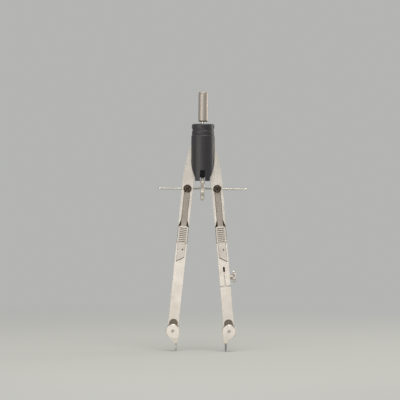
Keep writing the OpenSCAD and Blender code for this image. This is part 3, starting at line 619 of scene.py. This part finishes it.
screw_joint = next(joint for joint in frame["joints"] if joint["name"] == "clamp_screw_turn")
screw_turn = Vector(screw_joint["axis"]).to_track_quat("Z", "Y").to_matrix().to_4x4()
on_screw = Matrix.Translation(screw_joint["pos_m"]) @ screw_turn
screw_tip, collar_start = -1.5 * MM, 0.05 * MM    # these and the next two count from the leg's side
collar_end, screw_end = 1.8 * MM, 3.6 * MM
screw_thread_r, collar_r, screw_head_r = 1 * MM, 1.65 * MM, 3.75 * MM
collar_groove, grip_chamfer, screw_edge = 0.3 * MM, 0.3 * MM, 0.08 * MM
grip_ridges, screw_knurl = 44, 0.25 * MM
grip_r = screw_head_r - screw_knurl
collar_middle = (collar_start + collar_end) / 2
thumb_screw = finished("insert_clamp_screw_turned", turned_mesh("thumb screw", [
    (0, screw_tip), (screw_thread_r, screw_tip), (screw_thread_r, collar_start), (collar_r, collar_start),
    (collar_r, collar_middle - collar_groove), (collar_r - collar_groove, collar_middle),
    (collar_r, collar_middle + collar_groove), (collar_r, collar_end), (grip_r - grip_chamfer, collar_end),
    (grip_r, collar_end + grip_chamfer), (grip_r, screw_end - grip_chamfer),
    (grip_r - grip_chamfer, screw_end), (0, screw_end),
], on_screw), screw_edge, wheel_nickel, nickel_edge)
screw_grip = shaped_by(knurl_tree, "insert_clamp_screw_knurled_rim", {
    "Ridges": grip_ridges, "Ring radius": grip_r, "Ridge height": screw_knurl,
    "Length": screw_end - collar_end - 2 * grip_chamfer, "Finish": wheel_nickel,
}, on_screw @ Matrix.Translation((0, 0, (collar_end + screw_end) / 2)))
for piece in (thumb_screw, screw_grip):
    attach(piece, "clamp_screw")
    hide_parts("insert_clamp_screw")

# Knees: jointed ends milled from brass and plated, two discs on a dimpled rivet that draw
# together to a nose. A slotted grub screw behind each nose holds the needle or the lead.
knee_edge, knee_pin_edge, grub_edge = 0.1 * MM, 0.06 * MM, 0.04 * MM
# The discs are a shade paler than the legs. The rivets in them are painted a little greyer, as painted
# shade of their dimples.
# The noses are matt, so they take light from all round; they are also painted paler, as painted light on
# slopes that face down.
knee_nickel = brushed_nickel("nickel plate, satin, knees", 0.0, "#dcd5cc", "#ede7df", 0.3)
lit_nose_nickel = brushed_nickel("nickel plate, matt, noses, painted light", 0.0, "#f1eae0", "#f9f3ea", 0.6)
shaded_rivet_nickel = brushed_nickel("nickel plate, satin, knee rivets, painted shade", 0.0, "#cbc4bb", "#dad3ca", 0.36)


def crisp_slopes(mesh):
    """Keeps the edges crisp where a knee's flat sides turn into the slopes of its nose."""
    flat, slope = 0.999, math.radians(6)
    shape = bmesh.new()
    shape.from_mesh(mesh)
    for line in shape.edges:
        flats = [abs(face.normal.y) > flat for face in line.link_faces]
        if sum(flats) == 1 and line.calc_face_angle(0) > slope:
            line.smooth = False
    shape.to_mesh(mesh)
    shape.free()
    return mesh


def on_nose(face):
    """Whether a knee's face is one of the slopes of its nose."""
    drop, lean = -0.1, 0.5    # a slope faces down, and mostly to the front or rear
    return face.material_index == BODY and face.normal.z < drop and abs(face.normal.y) > lean


for point in ("needle", "lead"):
    # hollows in the knees take the painted shade too
    knee = finished(f"{point}_knee_plated", crisp_slopes(merged_copy(f"{point}_knee")), knee_edge,
                    knee_nickel, nickel_edge, recess_shade_nickel)
    # the nose's slopes take the paler nickel, painted light
    refinish(knee, lit_nose_nickel, on_nose)
    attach(knee, f"{point}_knee")
    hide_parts(f"{point}_knee")
    # the rivets take the greyer nickel, painted shade
    rivet = finished(f"{point}_knee_pin_set", merged_copy(f"{point}_knee_pin"), knee_pin_edge,
                     shaded_rivet_nickel, nickel_edge)
    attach(rivet, f"{point}_knee")
    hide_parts(f"{point}_knee_pin")
    grub = finished(f"{point}_clamp_screw_slotted", merged_copy(f"{point}_clamp_screw"), grub_edge,
                    steel_cross, steel_cross)
    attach(grub, f"{point}_knee")
    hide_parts(f"{point}_clamp_screw")

# Points: a hardened steel needle with a ground shoulder, and a pencil lead sharpened to a cone.
# Each is pushed up into its knee's nose and held there by the grub screw.
point_edge = 0.02 * MM
needle = finished("needle_ground", merged_copy("needle"), point_edge, steel_upright, steel_upright)
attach(needle, "needle")
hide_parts("needle")


def pressed_graphite(name, dark, pale):
    """Graphite and clay: dull dark grey with a slight metallic sheen and fine grit."""
    grit_size = 0.15 * MM
    material, tree = new_material(name)
    place = add_node(tree, "ShaderNodeTexCoord").outputs["Object"]
    grit = add_node(tree, "ShaderNodeTexNoise", None,
                    {"Vector": place, "Scale": 1 / grit_size, "Detail": 3.0, "Roughness": 0.7})
    tone = add_node(tree, "ShaderNodeMix", {"data_type": "RGBA"},
                    {"Factor": grit.outputs["Fac"], "A": linear(dark), "B": linear(pale)})
    bump = add_node(tree, "ShaderNodeBump", None,
                    {"Height": grit.outputs["Fac"], "Strength": 0.2, "Distance": 0.03 * MM})
    shader = add_node(tree, "ShaderNodeBsdfPrincipled", None,
                      {"Base Color": tone.outputs["Result"], "Normal": bump.outputs["Normal"],
                       "Roughness": 0.45, "Metallic": 0.5})
    add_node(tree, "ShaderNodeOutputMaterial", None, {"Surface": shader.outputs["BSDF"]})
    return material


graphite = pressed_graphite("graphite, pressed", "#6e6e71", "#a4a4a7")
lead = finished("lead_sharpened", merged_copy("lead"), point_edge, graphite, graphite)
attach(lead, "lead")
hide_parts("lead")

# Studio: pale grey drawing paper that runs out into an even light grey surround. A broad soft light
# stands to the left of the camera, a narrow one far to the right, one above and a low one in front.
SURROUND = linear("#b4b5b3")
PAPER = linear("#c6c6c3")
floor_r, fade_start, fade_end = 0.9, 0.12, 0.5
floor_mesh = turned_mesh("floor", [(0, 0), (floor_r, 0)], Matrix.Identity(4))
floor = bpy.data.objects.new("floor", floor_mesh)
scene.collection.objects.link(floor)
floor_paper, tree = new_material("pale paper sweep")
place = add_node(tree, "ShaderNodeTexCoord").outputs["Object"]
distance = add_node(tree, "ShaderNodeVectorMath", {"operation": "LENGTH"}, {0: place})
fade = add_node(tree, "ShaderNodeMapRange", {"interpolation_type": "SMOOTHSTEP"},
                {"Value": distance.outputs["Value"], "From Min": fade_start, "From Max": fade_end})
seen = add_node(tree, "ShaderNodeLightPath")
seen_any = add_node(tree, "ShaderNodeMath", {"operation": "MAXIMUM"},
                    {0: seen.outputs["Is Camera Ray"], 1: seen.outputs["Is Glossy Ray"]})
seen_any = add_node(tree, "ShaderNodeMath", {"operation": "MAXIMUM"},
                    {0: seen_any.outputs["Value"], 1: seen.outputs["Is Transmission Ray"]})
share = add_node(tree, "ShaderNodeMath", {"operation": "MULTIPLY"},
                 {0: fade.outputs["Result"], 1: seen_any.outputs["Value"]})
paper = add_node(tree, "ShaderNodeBsdfDiffuse", None, {"Color": PAPER})
glow = add_node(tree, "ShaderNodeEmission", None, {"Color": SURROUND, "Strength": 1.0})
mixed = add_node(tree, "ShaderNodeMixShader", None,
                 {"Fac": share.outputs["Value"], 1: paper.outputs["BSDF"], 2: glow.outputs["Emission"]})
add_node(tree, "ShaderNodeOutputMaterial", None, {"Surface": mixed.outputs["Shader"]})
floor_mesh.materials.append(floor_paper)

world = bpy.data.worlds.new("even surround")
world.use_nodes = True
world.node_tree.nodes.clear()
sky = add_node(world.node_tree, "ShaderNodeBackground", None, {"Color": SURROUND, "Strength": 1.0})
add_node(world.node_tree, "ShaderNodeOutputWorld", None, {"Surface": sky.outputs["Background"]})
scene.world = world

compass_middle = Vector((0, 0, 0.085))


def soft_light(name, place, width, height, watts, colour):
    """A rectangular soft light at place, facing the middle of the compass."""
    lamp = bpy.data.lights.new(name, "AREA")
    lamp.shape = "RECTANGLE"
    lamp.size, lamp.size_y = width, height
    lamp.energy = watts
    lamp.color = linear(colour)[:3]
    holder = bpy.data.objects.new(name, lamp)
    holder.location = place
    holder.rotation_euler = (compass_middle - Vector(place)).to_track_quat("-Z", "Y").to_euler()
    scene.collection.objects.link(holder)


soft_light("broad light, left", (-0.62, -0.75, 0.25), width=0.8, height=1.0, watts=3.8,
           colour="#fffaf2")
soft_light("narrow light, right", (0.75, 0.3, 0.2), width=0.3, height=0.9, watts=2.8,
           colour="#fffaf2")
soft_light("soft light, above", (0.1, -0.3, 0.95), width=0.6, height=0.6, watts=4.0,
           colour="#fffdf8")
soft_light("low light, in front", (-0.03, -0.4, 0.045), width=0.3, height=0.09, watts=0.12,
           colour="#fffaf6")

camera_side, camera_distance, camera_height = -0.0015, 1.0, 0.0993
camera_roll = math.radians(0.6)
frame_width = 0.262
camera = bpy.data.objects.new("camera", bpy.data.cameras.new("camera"))
camera.data.sensor_width = 36
camera.data.lens = camera.data.sensor_width * camera_distance / frame_width
camera.matrix_world = (Matrix.Translation((camera_side, -camera_distance, camera_height))
                       @ Matrix.Rotation(math.radians(90), 4, "X") @ Matrix.Rotation(camera_roll, 4, "Z"))
scene.collection.objects.link(camera)
scene.camera = camera
scene.view_settings.view_transform = "Standard"
